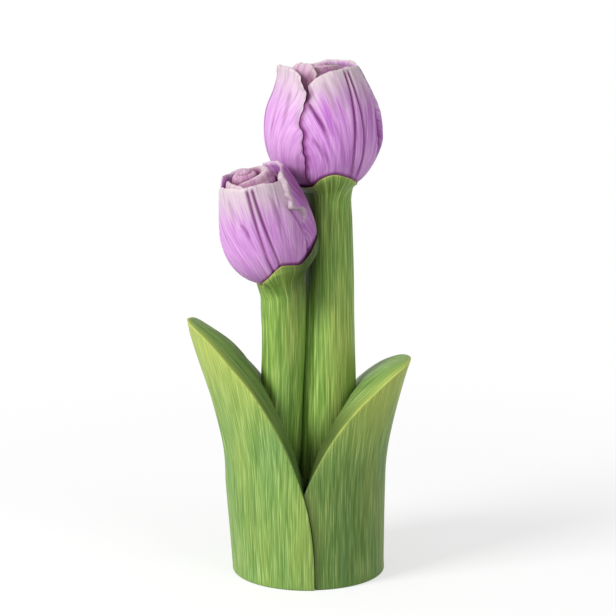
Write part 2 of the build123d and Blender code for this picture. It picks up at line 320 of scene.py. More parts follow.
def leaf(spec, material, seed):
    """A leaf: crescents between two ellipses, stacked from the foot to the fork and on up to the tip.

    Above the fork the outer ellipse reaches out with the square of the rise. The ridges close in on the
    middle line with a power of what is left of the rise, and the front bevel's inner edge with a lower
    one. Towards the tip the inner cavity fills up, until its face runs straight from edge to edge.
    """
    turn = np.linspace(0, np.pi / 2, edge_rows)
    edge_levels = foot_edge_round * (1 - np.cos(turn))
    foot_levels = np.concatenate([[0], edge_levels, np.linspace(2, fork_height, foot_rows)[:-1]])
    depth, ridge_round, tip_height = spec.depth, spec.ridge_round, spec.tip_height
    blade_rise = 1 - (1 - np.linspace(0, 1, blade_rows)) ** row_crowding
    blade_levels = fork_height + (tip_height - fork_height) * blade_rise
    levels = np.concatenate([foot_levels, blade_levels])[:, None]
    inset = np.zeros_like(levels)
    inset[1:edge_rows + 1, 0] = foot_edge_round * (1 - np.sin(turn))
    inset[0] = foot_edge_round
    low = np.clip(levels / fork_height, 0, 1)
    rise = np.clip((levels - fork_height) / (tip_height - fork_height), 0, 1)
    left_over = 1 - rise

    reach = foot_radius + (spec.fork_reach - foot_radius) * low - inset
    seam_x = seam_foot_x + (seam_fork_x - seam_foot_x) * low**seam_lean
    seam_turn = np.pi / 2 - spec.side * np.arcsin(seam_x / reach) - seam_half_gap / depth
    back_turn = np.pi / 2 - seam_half_gap / depth
    front, bevel = seam_turn * left_over**leaf_point, seam_turn * left_over**leaf_bevel_point
    back = back_turn * left_over**spec.back_point * (1 - spec.back_nip * hump(rise, nip_rise, nip_length))
    reach = reach + (spec.tip_reach - spec.fork_reach) * rise**2 * (1 + spec.flare * left_over)
    narrowing = smooth(levels, block_height + 1, fork_height)
    hollow_reach = foot_bore_radius + (throat_reach - foot_bore_radius) * narrowing
    hollow_reach = hollow_reach + (spec.tip_reach - leaf_tip_wall - throat_reach) * rise
    hollow_depth = foot_bore_radius + (throat_depth - foot_bore_radius) * narrowing

    way, way_outer, way_inner, dip, dip_outer, dip_inner = crescent_loop(face=150, edge=24, corner=9)
    width = (front + back) * depth
    inner_width = (bevel + back) * hollow_depth
    wall = depth - hollow_depth
    rounded = smooth(rise, 0, bevel_opening)
    ridge = np.minimum(ridge_round, round_limit * width) / (width + 1e-9)
    inner_round = ridge_round + (bevel_round - ridge_round) * rounded
    inner_round = np.minimum(inner_round, round_limit * inner_width)
    inner_round = np.where(rise > 0, inner_round / (inner_width + 1e-9), ridge)
    across = way + way_outer * ridge + way_inner * inner_round
    blunt = ridge_round / wall * (1 - rounded) + bevel_share * rounded
    inward = dip + dip_outer * ridge_round / wall + dip_inner * blunt
    inward[0] = 0.5
    outer_angle = -front + across * (front + back)
    inner_angle = -bevel + across * (bevel + back)
    angle = outer_angle * (1 - inward) + inner_angle * inward
    fill = smooth(rise, fill_start, fill_end)
    flat_x = np.cos(bevel) * (1 - across) + np.cos(back) * across
    flat_y = np.sin(back) * across - np.sin(bevel) * (1 - across)
    cos_angle = np.cos(angle) + fill * inward * (flat_x - np.cos(inner_angle))
    sin_angle = np.sin(angle) + fill * inward * (flat_y - np.sin(inner_angle))

    arc = outer_angle * depth
    cuts = broad_cut * ripple(arc / broad_cut_width, levels / broad_cut_length, seed)
    cuts = cuts + fine_cut * ripple(arc / fine_cut_width, levels / fine_cut_length, seed + 1)
    cuts = cuts * smooth(levels, 0, 6) * smooth(rise, 1, 0.9)
    outward = 1 + cuts * np.abs(1 - 2 * inward) / depth
    x = spec.side * (reach * (1 - inward) + hollow_reach * inward) * cos_angle * outward
    y = ((depth - inset) * (1 - inward) + hollow_depth * inward) * sin_angle * outward
    z = levels - leaf_tip_ease * smooth(rise, 0.85, 1) * (1 - 2 * inward) ** 2
    grid = np.stack([x, y, z], axis=-1)

    along = levels + tip_brush_stretch * rise**2 + 0 * x
    brushed = np.where(inward > 0.02, bevel_brush * across, arc)
    to_edge = np.minimum(across, 1 - across) * width
    # A broken pale line along the ridge: partly rubbed paint, partly a painted highlight.
    patchy = 0.5 + 0.5 * ripple(levels / 5, 0 * levels, seed + 3)
    ridge_line = patchy * hump(to_edge, 0, ridge_line_width) * hump(inward, 0, 0.1) * smooth(levels, 20, 80)
    # Painted shade: beside the seam where the left leaf laps over, deep in the throat, on inner faces and
    # bevels turned from the lamp, and low on the right leaf.
    seam_shade = spec.seam_shade * hump(across * width, 0, seam_shade_width) * smooth(levels, 68, 54)
    throat = throat_shade * smooth(inward, 0.7, 1.0) * smooth(rise, 0.45, 0.05)
    behind = spec.inner_shade * smooth(inward, 0.3, 0.7) * smooth(rise, 1.0, 0.8)
    towards_fork = smooth(rise, 0.95, 0.45)
    bevel_shade = spec.bevel_shade_high * (1 - towards_fork) + spec.bevel_shade_low * towards_fork
    bevel_shade = bevel_shade * smooth(inward, 0.02, 0.14) * smooth(across, 0.6, 0.4) * (rise > 0)
    behind = np.maximum(behind, bevel_shade)
    rise_wear = tip_wear * smooth(rise, 0.1, 1.0) * smooth(inward, 0.5, 0.0)
    foot_shade = spec.foot_shade * smooth(levels, 115, 50)
    marks = {
        "grain": np.stack([brushed + 200 * seed, inward * wall, along], axis=-1),
        "wear_and_sheen": np.clip(spec.ridge_wear_and_sheen * ridge_line + rise_wear, 0, 1),
        "painted_shade": np.clip(seam_shade + np.maximum(throat, behind) + foot_shade, 0, 1),
    }
    make_piece(spec.node, grid, marks, material)


leaf_green = green_paint(
    "leaf_green", base=colour(138, 174, 88), light=colour(186, 210, 128), dark=colour(98, 136, 60),
    worn_and_sheen=colour(196, 208, 104), teal=colour(92, 148, 100))
left_leaf = Leaf(
    node="left_leaf", side=-1, depth=foot_radius, fork_reach=48.3, tip_height=151.3, tip_reach=70.3,
    flare=1.0, back_point=0.5, back_nip=0.12, ridge_round=0.7, foot_shade=0.0, seam_shade=0.0,
    inner_shade=0.55, bevel_shade_high=0.4, bevel_shade_low=0.5, ridge_wear_and_sheen=0.18)
right_leaf = Leaf(
    node="right_leaf", side=1, depth=foot_radius - seam_lap, fork_reach=45.0, tip_height=128.0,
    tip_reach=59.5, flare=0.5, back_point=0.39, back_nip=0.0, ridge_round=0.3, foot_shade=0.32,
    seam_shade=0.4, inner_shade=0.3, bevel_shade_high=0.05, bevel_shade_low=0.6, ridge_wear_and_sheen=0.4)
leaf(left_leaf, leaf_green, 1)
leaf(right_leaf, leaf_green, 2)


# Stems: two tapered rods, side by side in the foot. Each flares at its top into a thin carved cup
# with uneven round lobes, which holds the flower. They are pegged to the block and painted green,
# with painted shade low down, beside the leaves, between the stems and under the flowers.
class Head(NamedTuple):
    """A flower's seat and outline: out from its foot to the belly, then in to the rim."""

    origin: np.ndarray
    axes: np.ndarray
    radius: float
    belly: float
    rim: float
    top: float
    foot: float


plug_radius = 8.0


def head(seat, lean_left, lean_forward, **outline):
    """A flower's frame: its seat's place, tipped forward about X and then to the left about Y."""
    a, b = np.radians([lean_forward, -lean_left])
    tip = np.array([[1, 0, 0], [0, np.cos(a), -np.sin(a)], [0, np.sin(a), np.cos(a)]])
    roll = np.array([[np.cos(b), 0, np.sin(b)], [0, 1, 0], [-np.sin(b), 0, np.cos(b)]])
    return Head(np.array(seat), tip @ roll, **outline)


tall_head = head((11.9, 11.5, 224.7), lean_left=4.8, lean_forward=-3.0,
                 radius=34.4, belly=34.0, rim=21.5, top=72.5, foot=0.5)
short_head = head((-16.6, -13.0, 178.0), lean_left=13.8, lean_forward=10.0,
                  radius=27.8, belly=28.0, rim=18.0, top=66.5, foot=2.0)


def bell(flower, height):
    """Radius of a flower at a height, and its outward direction there as a radial and an upward share.

    A quarter ellipse round the plug rises from the foot to the belly, and a circle closes in to the rim.
    """
    span = flower.belly - flower.foot
    drop = np.clip((flower.belly - height) / span, 0, 1)
    swell = np.sqrt(1 - drop**2)
    inward = flower.radius - flower.rim
    bend = (inward**2 + (flower.top - flower.belly) ** 2) / (2 * inward)
    over = np.clip(height - flower.belly, 0, bend)
    low = height < flower.belly
    arc = np.sqrt(bend**2 - over**2)
    low_radius = plug_radius + (flower.radius - plug_radius) * swell
    radius = np.where(low, low_radius, flower.radius - bend + arc)
    radial = np.where(low, span * swell, arc)
    upward = np.where(low, -(flower.radius - plug_radius) * drop, over)
    size = np.hypot(radial, upward)
    return radius, radial / size, upward / size


def on_head(flower, radius, height, turn):
    """Points on a flower, from the radius, the height along its axis and the turn from its front."""
    side, depth, up = flower.axes.T
    round_axis = np.sin(turn)[..., None] * side - np.cos(turn)[..., None] * depth
    return flower.origin + radius[..., None] * round_axis + height[..., None] * up


def through(places, values, at):
    """A smooth curve through given values: cubic spans, with slopes taken from the places beside."""
    places, values = np.asarray(places, float), np.asarray(values, float)
    slopes = np.gradient(values, places)
    span = np.clip(np.searchsorted(places, at, side="right") - 1, 0, len(places) - 2)
    length = places[span + 1] - places[span]
    s = np.clip((at - places[span]) / length, 0, 1)
    start, end = values[span], values[span + 1]
    bend_in, bend_out = slopes[span] * length, slopes[span + 1] * length
    rise = s * s * (3 - 2 * s)
    return start + (end - start) * rise + bend_in * s * (1 - s) ** 2 - bend_out * s * s * (1 - s)


waist_height = 150.0
collar_drop = 8.0
collar_gap = 0.2
collar_lip = 0.7
collar_blend = 3.0
trumpet_low, trumpet_high, trumpet_power = -6.0, 12.0, 1.6
broad_flute, broad_flute_count = 0.42, 18
fine_flute, fine_flute_count = 0.2, 60
rim_wave, rim_wave_count = 0.3, 16
lip_wear, lip_wear_width = 0.6, 1.1
waist_wear, waist_wear_length = 0.3, 30
low_shade, behind_leaf_shade, between_shade = 0.1, 0.14, 0.85
leaf_edge_rise = 5
leaf_edge_slope = 2.55


def stem(node, flower, foot, waist, bend, sway, radii, rim, inner_side, under_head_shade, material, seed):
    """A stem: rings along a bent line from the block to the flower, then the lobed cup, inside and out.

    The cup's outside is the larger of a trumpet that widens with a power of the height and the flower's
    own outline, eased together. Its rim rises and falls round the flower as the lobes do.
    """
    columns, rod_rows, cup_steps, lining_rows = 240, 170, 61, 14
    turn = np.linspace(-np.pi, np.pi, columns + 1)[None, :-1]
    up = flower.axes[:, 2]
    neck = flower.origin - collar_drop * up + sway * flower.axes[:, 0]
    foot, waist = np.append(foot, block_height), np.append(waist, waist_height)
    bend = np.append(bend, (waist_height + neck[2]) / 2)
    line = np.stack([foot, (foot + waist) / 2, waist, bend, neck])
    steps = np.linspace(0, 1, rod_rows)
    length = neck[2] - block_height
    knots = (line[:, 2] - block_height) / length
    centre = np.stack([through(knots, line[:, axis], steps) for axis in range(3)], axis=-1)
    girth = through(knots, radii, steps)[:, None]
    lean = smooth(steps, 0.55, 1.0)[:, None]
    normal = (1 - lean) * np.array([0, 0, 1]) + lean * up
    normal = normal / np.linalg.norm(normal, axis=1, keepdims=True)
    side = np.array([1, 0, 0]) - normal[:, :1] * normal
    side = side / np.linalg.norm(side, axis=1, keepdims=True)
    depth = np.cross(normal, side)
    broad_turn = turn * broad_flute_count / (2 * np.pi)
    fine_turn = turn * fine_flute_count / (2 * np.pi)
    flutes = broad_flute * ripple(broad_turn, steps[:, None] * 4, seed, broad_flute_count)
    fine = ripple(fine_turn, steps[:, None] * 5, seed + 1, fine_flute_count)
    flutes = flutes + fine_flute * fine
    girth = girth + flutes * smooth(steps, 1.0, 0.94)[:, None]
    round_line = np.sin(turn)[..., None] * side[:, None] - np.cos(turn)[..., None] * depth[:, None]
    rod = centre[:, None] + girth[..., None] * round_line

    rim_turns, rim_heights = rim
    edge = through(rim_turns, rim_heights, np.degrees(turn))
    wave_turn = turn * rim_wave_count / (2 * np.pi)
    edge = edge + rim_wave * ripple(wave_turn, 0 * turn, seed + 2, rim_wave_count)
    climb = np.linspace(0, 1, cup_steps)[1:, None]
    height = -collar_drop + (edge + collar_drop) * climb
    shell, radial, upward = bell(flower, height)
    outside = shell + (collar_gap + collar_lip) * np.maximum(radial, 0.5)
    outside = np.where(height < flower.foot, plug_radius + 4 * (height - flower.foot), outside)
    mouth, _, _ = bell(flower, np.array(trumpet_high))
    flare = (mouth + collar_lip - radii[-1]) * smooth(edge, 0, 8)
    spread = np.clip((height - trumpet_low) / (trumpet_high - trumpet_low), 0, 1) ** trumpet_power
    trumpet = radii[-1] + flare * spread
    blend = collar_blend**2 * smooth(climb, 0, 0.3) * smooth(climb, 1, 0.8)
    cup = (trumpet + outside + np.sqrt((trumpet - outside) ** 2 + blend)) / 2
    cup_rows = on_head(flower, cup, height, turn + 0 * height)
    cup_rows = cup_rows + (sway * smooth(height, 3, -collar_drop))[..., None] * flower.axes[:, 0]
    fall = np.linspace(1, 0, lining_rows)[:, None]
    inner_height = flower.foot + (edge - flower.foot) * fall
    inner_radius, _, _ = bell(flower, inner_height)
    inside = on_head(flower, inner_radius + collar_gap, inner_height, turn + 0 * inner_height)

    foot_row = np.broadcast_to(foot, (1, columns, 3))
    seat_row = np.broadcast_to(flower.origin + flower.foot * up, (1, columns, 3))
    grid = np.concatenate([foot_row, rod, cup_rows, inside, seat_row])
    blank = np.zeros((1, columns))
    ring_x = np.sin(turn) * np.mean(radii)
    ring_y = np.cos(turn) * np.mean(radii)
    rod_along, cup_along = block_height + length * steps, neck[2] + 20 * climb[:, 0]
    along = np.concatenate([[0], rod_along, cup_along, np.full(len(fall) + 1, neck[2])])
    along = along[:, None] + 0 * turn
    cup_wear = lip_wear * hump(edge - height, 0, lip_wear_width)
    rim_wear = np.concatenate([blank, 0 * girth * turn, cup_wear, blank + 0 * inner_height, blank])
    rubbed = waist_wear * hump(along, waist_height, waist_wear_length) * hump(turn, 0.4, 0.6)
    # Painted shade: low between the leaves, along the leaves' edges, on the sides that face the other flower,
    # and under the heads.
    leaf_edge = fork_height + leaf_edge_rise + leaf_edge_slope * np.abs(grid[..., 0] - seam_fork_x)
    behind_leaf = smooth(grid[..., 2] - leaf_edge, 13, -2) * smooth(along, 150, 120)
    facing = inner_side * turn
    between = smooth(facing, 0.0, 0.9) * smooth(along, 140, 190) * smooth(facing, 2.6, 2.0)
    overhung_shade = under_head_shade * smooth(along, 150, 195) * smooth(along, 226, 210)
    shade = low_shade * smooth(along, 105, 60) + behind_leaf_shade * behind_leaf
    shade = shade + between_shade * between + overhung_shade
    marks = {
        "grain": np.stack([ring_x + 0 * along + 90 * seed, ring_y + 0 * along, along], axis=-1),
        "wear_and_sheen": rim_wear + rubbed,
        "painted_shade": np.clip(shade, 0, 1),
    }
    make_piece(node, grid, marks, material)


stem_green = green_paint(
    "stem_green", base=colour(144, 180, 84), light=colour(194, 218, 122), dark=colour(104, 144, 60),
    worn_and_sheen=colour(200, 200, 108), teal=colour(90, 146, 96))
# A cup's rim: turns from the front in degrees, then the rim's height at each.
tall_rim = (
    (-180, -150, -111, -75, -52, -40, -22, -8, 9, 22, 41, 52, 70, 92, 112, 140, 165, 180),
    (1.5, 6.0, 12.0, 8.5, 5.0, 4.6, 5.9, 10.0, 12.1, 10.2, 6.0, 4.0, 2.8, 2.3, 3.4, 9.0, 3.5, 1.5))
short_rim = (
    (-180, -150, -125, -105, -70, -40, -23, -8.5, 3, 12, 24, 41, 48, 58, 70, 85, 105, 140, 180),
    (6.0, 9.5, 3.5, 1.6, 1.4, 2.4, 7.0, 10.7, 14.7, 17.0, 15.6, 13.2, 14.3, 16.3, 19.5, 20.8, 18.0, 7.0, 6.0))
stem("tall_stem", tall_head, foot=(11.6, 2.0), waist=(11.6, 2.0), bend=(11.5, 6.5), sway=-1.2,
     radii=(17.5, 16.3, 15.1, 14.2, 13.4), rim=tall_rim, inner_side=-1, under_head_shade=0.15,
     material=stem_green, seed=3)
stem("short_stem", short_head, foot=(-17.08, -4.0), waist=(-14.17, -9.2), bend=(-14.43, -10.4), sway=0.0,
     radii=(11.5, 12.1, 12.7, 13.0, 13.3), rim=short_rim, inner_side=1, under_head_shade=0.0,
     material=stem_green, seed=5)


# Petals: three broad carved shells to a flower, round three inner ones, seated in the stem's cup. Each
# has a midrib between two gouge cuts, and those seen in front have slanting folds. Purple paint,
# brushed pale at the tips, with plum painted shade in the cup, at edges and overlaps and on the inner
# faces, and painted shadows on sides that lie in shade.
class Petal(NamedTuple):
    """One petal's outline, carving and shades. Edges are turns in degrees at the edge heights.

    A rib has its turn at the foot and at the top, and its half width low and high. A fold has the turn
    and height of its two ends, its depth and its width. A lift is how far the left edge rolls out, from
    one height to another. A shadow has its depth, turn and height, and its width in each.
    """

    node: str
    edge_heights: tuple
    left_edge: tuple
    right_edge: tuple
    tip: float
    left_drop: float
    right_drop: float
    shoulders: tuple
    rib: tuple
    folds: tuple
    warm: float
    flare: float = 0.6
    lift: tuple = (0.0, 0.0, 1.0)
    pale: float = 1.0
    inside_pale: float = 3.0
    gouge: float = 1.0
    below_lip_shade: float = 0.0
    shadow: tuple = (0.0, 0.0, 0.0, 1.0, 1.0)
    seam_shade: float = 0.0


def spaced(low, high, count, places, width):
    """Values from low to high that lie closer together near the places that carry detail."""
    even = np.linspace(low, high, 4000)
    density = 1 + 2.2 * sum(hump(even, place, width) for place in places)
    share = np.cumsum(density)
    share = (share - share[0]) / (share[-1] - share[0])
    return np.interp(np.linspace(0, 1, count), share, even)


purple_stroke_depth = 0.18 * mm
warm_pink = colour(230, 184, 228)
dark_wash = colour(150, 72, 158)
light_wash = colour(234, 206, 230)


def purple_paint(name, deep, mid, light, pale, plum):
    """Purple dry-brushed paint: streaks along the petal, whitish at tip and lip and as a painted highlight
    on the buds' folds, and plum in the carved cuts and as painted shade and shadow.
    """
    material, start = new_material(name)
    grain = start.node("Attribute", {"attribute_name": "grain"}, {}, "Vector")
    tip = start.node("Attribute", {"attribute_name": "tip"}, {}, "Fac")
    cut = start.node("Attribute", {"attribute_name": "cut"}, {}, "Fac")
    warm = start.node("Attribute", {"attribute_name": "warm"}, {}, "Fac")
    broad = grain.streaks((0.28, 0.28, 0.03), 3.0)
    fine = grain.streaks((1.1, 1.1, 0.05), 4.0, (5, 2, 8))
    wash = grain.streaks((0.6, 0.6, 0.035), 3.0, (9, 4, 2))
    patch = grain.streaks((0.07, 0.07, 0.05), 2.0, (1, 6, 3))
    stroke = broad * 0.5 + fine * 0.5
    paint = stroke.between(0.39, 0.61).mix(mid, light)
    paint = (patch.between(0.45, 0.7) * 0.45).mix(paint, deep)
    paint = (warm * (0.5 + patch * 0.5)).mix(paint, warm_pink)
    dry = (tip * 1.35 + stroke * 1.3 - 0.85).between(0.0, 1.0)
    paint = dry.mix(paint, pale)
    paint = (wash.between(0.48, 0.34) * 0.4).mix(paint, dark_wash)
    paint = (wash.between(0.54, 0.68) * 0.3).mix(paint, light_wash)
    # Plum in the carved cuts, and as painted shade and painted shadow where the cut mark carries them.
    paint = cut.mix(paint, plum)
    coat(material, paint, 0.6 - fine * 0.22, stroke, purple_stroke_depth)
    return material


edge_nicks = 1.3
nick_pitch = 3.2
nick_seed = 7
broad_rag = 0.4
fine_rag = 0.15
rib_depth = 1.1
rib_swell = 0.35
gouge_half_width = 0.9
fold_bow = 1.2
crown_power = 2.4
fan_relief, fan_width, fan_length = 0.3, 3.6, 60
bristle_relief, bristle_width, bristle_length = 0.1, 0.8, 34
pale_reach = 42
collar_shade = 0.8
seam_width = 3.0


def petal(flower, spec, rim, wall, lip, crown, size, material, seed):
    """A petal: the flower's outline between two edges, thick in the middle and rounded off all round.

    Height runs from the foot to a top that drops away from the middle with a power of the width, and
    the carving is cut into the outer face as narrow humps across lines on the petal. Here u runs from
    -1 at the left edge to 1 at the right one, and v from 0 at the foot to 1 at the top.
    """
    rows, columns = size
    rib_low, rib_high, rib_low_half, rib_high_half = spec.rib
    edge_means = np.mean(spec.left_edge), np.mean(spec.right_edge)
    rib_at = np.interp((rib_low + rib_high) / 2, edge_means, (-1, 1))
    u = spaced(-1, 1, columns, (-1, rib_at, 1), 0.08)[None, :]
    v = spaced(0, 1, rows, (0, 1), 0.06)[:, None]
    low_share = 0.45
    left_shoulder, right_shoulder = spec.shoulders
    left_fall = spec.left_drop * np.abs(u) ** left_shoulder
    right_fall = spec.right_drop * np.abs(u) ** right_shoulder
    drop = np.where(u < 0, left_fall, right_fall)
    ragged = broad_rag * ripple(u * 4, 0 * u, seed) + fine_rag * ripple(u * 11, 0 * u, seed + 1)
    top = spec.tip - drop + ragged
    swing = np.clip(v / low_share, 0, 1) * np.pi / 2
    climb = np.clip((v - low_share) / (1 - low_share), 0, 1)
    height = np.where(v < low_share, flower.belly - (flower.belly - flower.foot) * np.cos(swing),
                      flower.belly + (top - flower.belly) * climb)
    nicks = edge_nicks * ripple(height / nick_pitch, 0 * height, nick_seed) * smooth(height, 8, 24)
    left = np.radians(through(spec.edge_heights, spec.left_edge, height) + nicks)
    right = np.radians(through(spec.edge_heights, spec.right_edge, height) + nicks)
    turn = left + (right - left) * (u + 1) / 2
    radius, radial, upward = bell(flower, height)

    to_side = (1 - np.abs(u)) * (right - left) / 2 * radius
    to_left = (1 + u) * (right - left) / 2 * radius
    to_top = (top - height) * (1 + 0 * u)
    to_foot = (height - flower.foot) * 2.5 * (1 + 0 * u)
    radius = radius + spec.flare * (smooth(to_top, 11, 0) ** 2 - 0.4 * hump(to_top, 15, 7))
    thick = wall + (lip - wall) * smooth(height, flower.belly, top)
    full = np.ones_like(turn)
    for gap in (to_side, to_top, to_foot):
        full = full * np.sqrt(1 - (1 - np.clip(gap / (0.6 * thick), 0, 1)) ** 2)

    rib_turn = np.radians(rib_low + (rib_high - rib_low) * height / flower.top)
    across = (turn - rib_turn) * radius
    rib_taper = smooth(height, flower.belly * 0.7, flower.top)
    half_rib = rib_low_half + (rib_high_half - rib_low_half) * rib_taper
    half_rib = half_rib * (0.65 + 0.35 * smooth(height, 8, 24))
    run = smooth(height, 4, 14) * smooth(to_top, 0.5, 3.5)
    gouges = spec.gouge * hump(np.abs(across), half_rib, gouge_half_width) * run
    relief = -rib_depth * gouges + rib_swell * spec.gouge * hump(across, 0, half_rib) * run
    cut = (0.7 + 0.25 * smooth(height, 20, 50)) * gouges
    for turn0, height0, turn1, height1, fold_depth, fold_width in spec.folds:
        t0, t1 = np.radians([turn0, turn1])
        mean, _, _ = bell(flower, np.array((height0 + height1) / 2))
        dx, dy = (t1 - t0) * mean, height1 - height0
        length = np.hypot(dx, dy)
        px, py = (turn - t0) * mean, height - height0
        along_fold = (px * dx + py * dy) / length**2
        aside = (px * dy - py * dx) / length
        bow = aside + fold_bow * np.sin(np.pi * np.clip(along_fold, 0, 1))
        fade = smooth(along_fold, -0.06, 0.15) * smooth(along_fold, 1.1, 0.55)
        groove = hump(bow, 0, fold_width) * fade
        bank = hump(bow, 2.2 * fold_width, 1.8 * fold_width) * fade
        relief = relief - fold_depth * groove + 0.5 * fold_depth * bank
        cut = np.maximum(cut, min(1.0, 0.65 * fold_depth) * groove)
    fanned = across / (0.4 + 0.6 * smooth(height, 0, flower.top))
    fan = ripple(fanned / fan_width, height / fan_length, seed + 2)
    relief = relief + fan_relief * fan * smooth(height, 10, 30)
    bristles = ripple(across / bristle_width, height / bristle_length, seed + 3)
    relief = relief + bristle_relief * bristles * smooth(height, 6, 20)
    relief = relief - crown * np.abs(u) ** crown_power
    lift, lift_low, lift_high = spec.lift
    lift_ease = 7
    rolled = lift * hump(to_left, 1.2, 3.4)
    rolled = rolled * smooth(height, lift_low - lift_ease, lift_low + lift_ease)
    rolled = rolled * smooth(height, lift_high + lift_ease, lift_high - lift_ease)
    relief = relief + rolled

    outer = -thick / 2 + full * (thick / 2 + relief)
    inner = -thick / 2 - full * thick / 2
    faces = []
    for offset in (outer, inner):
        faces.append(on_head(flower, radius + radial * offset, height + upward * offset, turn))
    grid = np.concatenate([faces[0], faces[1][:, ::-1]], axis=1)

    def both(outside, inside):
        """Values on the outer face and then on the inner one, in the order of the grid's columns."""
        return np.concatenate([outside + 0 * u, (inside + 0 * u)[:, ::-1]], axis=1)

    tip_fade = 0.85 * spec.pale * smooth(to_top, pale_reach, -8) + 0.4 * hump(to_top, 0, 1.4)
    tip_fade = tip_fade + 0.12 * hump(to_side, 0, 1.5) * smooth(height, 18, 45)
    tip_fade = tip_fade + 0.45 * (1 - spec.pale) * rolled
    # Painted shade below the lip, inside the stem's cup, on the sides that lie in shade, beside the seam
    # where a petal laps over, at the side edges low down, near the foot and deep on the inner face.
    cut = np.maximum(cut, spec.below_lip_shade * smooth(to_top, 2.5, 8))
    rim_turns, rim_heights = rim
    collar = through(rim_turns, rim_heights, (np.degrees(turn) + 180) % 360 - 180)
    cut = np.maximum(cut, collar_shade * smooth(height - collar, 2.6, 0.8))
    depth_of_shadow, shadow_turn, shadow_height, shadow_width, shadow_reach = spec.shadow
    shadow = hump(np.degrees(turn), shadow_turn, shadow_width)
    shadow = shadow * hump(height, shadow_height, shadow_reach)
    cut = np.maximum(cut, depth_of_shadow * shadow)
    cut = np.maximum(cut, spec.seam_shade * hump(to_left, 0, seam_width) * smooth(height, 68, 56))
    edge_shade = 0.5 * hump(to_side, 0, 0.9) * smooth(height, 45, 25) + 0.4 * smooth(height, 9, 3)
    depth_shade = smooth(to_top, spec.inside_pale, spec.inside_pale + 13)
    marks = {
        "grain": np.stack([both(fanned + 70 * seed, fanned + 70 * seed), both(0 * turn, 9 + 0 * turn),
                           both(height + 0 * u, height + 0 * u)], axis=-1),
        "tip": np.clip(both(tip_fade, 0.55 * hump(to_top, 0, spec.inside_pale)), 0, 1),
        "cut": np.clip(both(np.maximum(cut, edge_shade), 0.85 * depth_shade), 0, 1),
        "warm": both(spec.warm + 0 * turn, spec.warm + 0 * turn),
    }
    make_piece(spec.node, grid, marks, material)


petal_purple = purple_paint(
    "petal_purple", deep=colour(174, 94, 190), mid=colour(190, 110, 202), light=colour(228, 172, 232),
    pale=colour(210, 194, 199), plum=colour(122, 48, 114))
petal_wall = 5.0
petal_lip = 3.0
petal_grid = (150, 210)

tall_heights = (0, 8, 22, 30, 37, 44, 50, 57, 64, 72)
tall_outer = [
    Petal(
        node="tall_front_petal", edge_heights=tall_heights,
        left_edge=(-34.2, -31.2, -22.5, -22.9, -21.4, -25.3, -22.2, -16.3, -14.3, -12.8),
        right_edge=(85, 83, 76, 71, 70, 72, 79, 84, 85, 85),
        tip=71.8, left_drop=7.0, right_drop=0.6, shoulders=(3.2, 3.2), rib=(32.5, 40.5, 3.4, 1.2),
        folds=((-16.5, 56, 5, 33, 1.5, 1.0), (-14, 35, 6, 15, 0.7, 1.5), (5, 66, 16, 44, 0.45, 1.8),
               (18, 68, 25, 46, 0.4, 1.6), (58, 64, 52, 34, 0.4, 1.8), (70, 58, 62, 26, 0.4, 1.8)),
        warm=0.12, seam_shade=1.0),
    Petal(
        node="tall_back_petal", edge_heights=tall_heights,
        left_edge=(87, 85, 78, 73, 72, 74, 81, 86, 87, 87), right_edge=(211,) * 10,
        tip=73.4, left_drop=5.0, right_drop=8.0, shoulders=(4.0, 4.0), rib=(150, 150, 3.2, 1.3),
        folds=(), warm=0.0, lift=(2.0, 22, 46), inside_pale=8.0),
    Petal(
        node="tall_left_petal", edge_heights=tall_heights, left_edge=(-147,) * 10,
        right_edge=(-35, -32, -23.5, -24, -22.5, -27, -23.5, -17.5, -16, -15),
        tip=75.2, left_drop=15.0, right_drop=14.6, shoulders=(1.8, 6.0), rib=(-88, -84, 3.0, 1.2),
        folds=((-40, 62, -48, 36, 0.6, 1.3), (-58, 64, -62, 34, 0.5, 1.3), (-30, 26, -40, 8, 0.6, 1.2)),
        warm=0.55, flare=3.5, shadow=(0.8, -36, 4, 30, 15)),
]
for step, spec in enumerate(tall_outer):
    petal(tall_head, spec, tall_rim, petal_wall, petal_lip, crown=2.0, size=petal_grid,
          material=petal_purple, seed=10 * step + 20)

short_heights = (0, 10, 21, 35, 43, 46, 50, 57, 62, 66)
short_outer = [
    Petal(
        node="short_front_petal", edge_heights=short_heights, left_edge=(-92,) * 10,
        right_edge=(62, 60, 58.5, 62, 64, 62, 60, 58, 56, 54),
        tip=65.6, left_drop=4.0, right_drop=5.0, shoulders=(4.0, 4.0), rib=(8.5, -4.5, 2.65, 1.6),
        folds=((-25.5, 46, -16, 36, 0.8, 0.8), (-45, 60, -34, 38, 0.5, 1.3), (24, 60, 26, 34, 0.4, 1.6),
               (44, 50, 58, 20, 1.0, 1.5)),
        warm=0.35, shadow=(0.2, 48, 30, 26, 40)),
    Petal(
        node="short_right_petal", edge_heights=short_heights,
        left_edge=(63, 61, 59, 57.5, 60, 46, 47, 51, 54, 56), right_edge=(163,) * 10,
        tip=66.5, left_drop=2.0, right_drop=1.5, shoulders=(4.0, 4.0), rib=(114, 114, 2.4, 1.0),
        folds=((62, 64, 82, 40, 0.9, 1.2),), warm=0.0, lift=(2.6, 36, 90), pale=0.4,
        below_lip_shade=0.3, shadow=(0.7, 84, 54, 24, 23)),
    Petal(
        node="short_left_petal", edge_heights=short_heights, left_edge=(165,) * 10, right_edge=(266,) * 10,
        tip=64.5, left_drop=3.0, right_drop=-4.0, shoulders=(1.5, 1.5), rib=(216, 216, 2.4, 1.0),
        folds=(), warm=0.1),
]
for step, spec in enumerate(short_outer):
    petal(short_head, spec, short_rim, petal_wall, petal_lip, crown=1.6, size=petal_grid,
          material=petal_purple, seed=10 * step + 60)


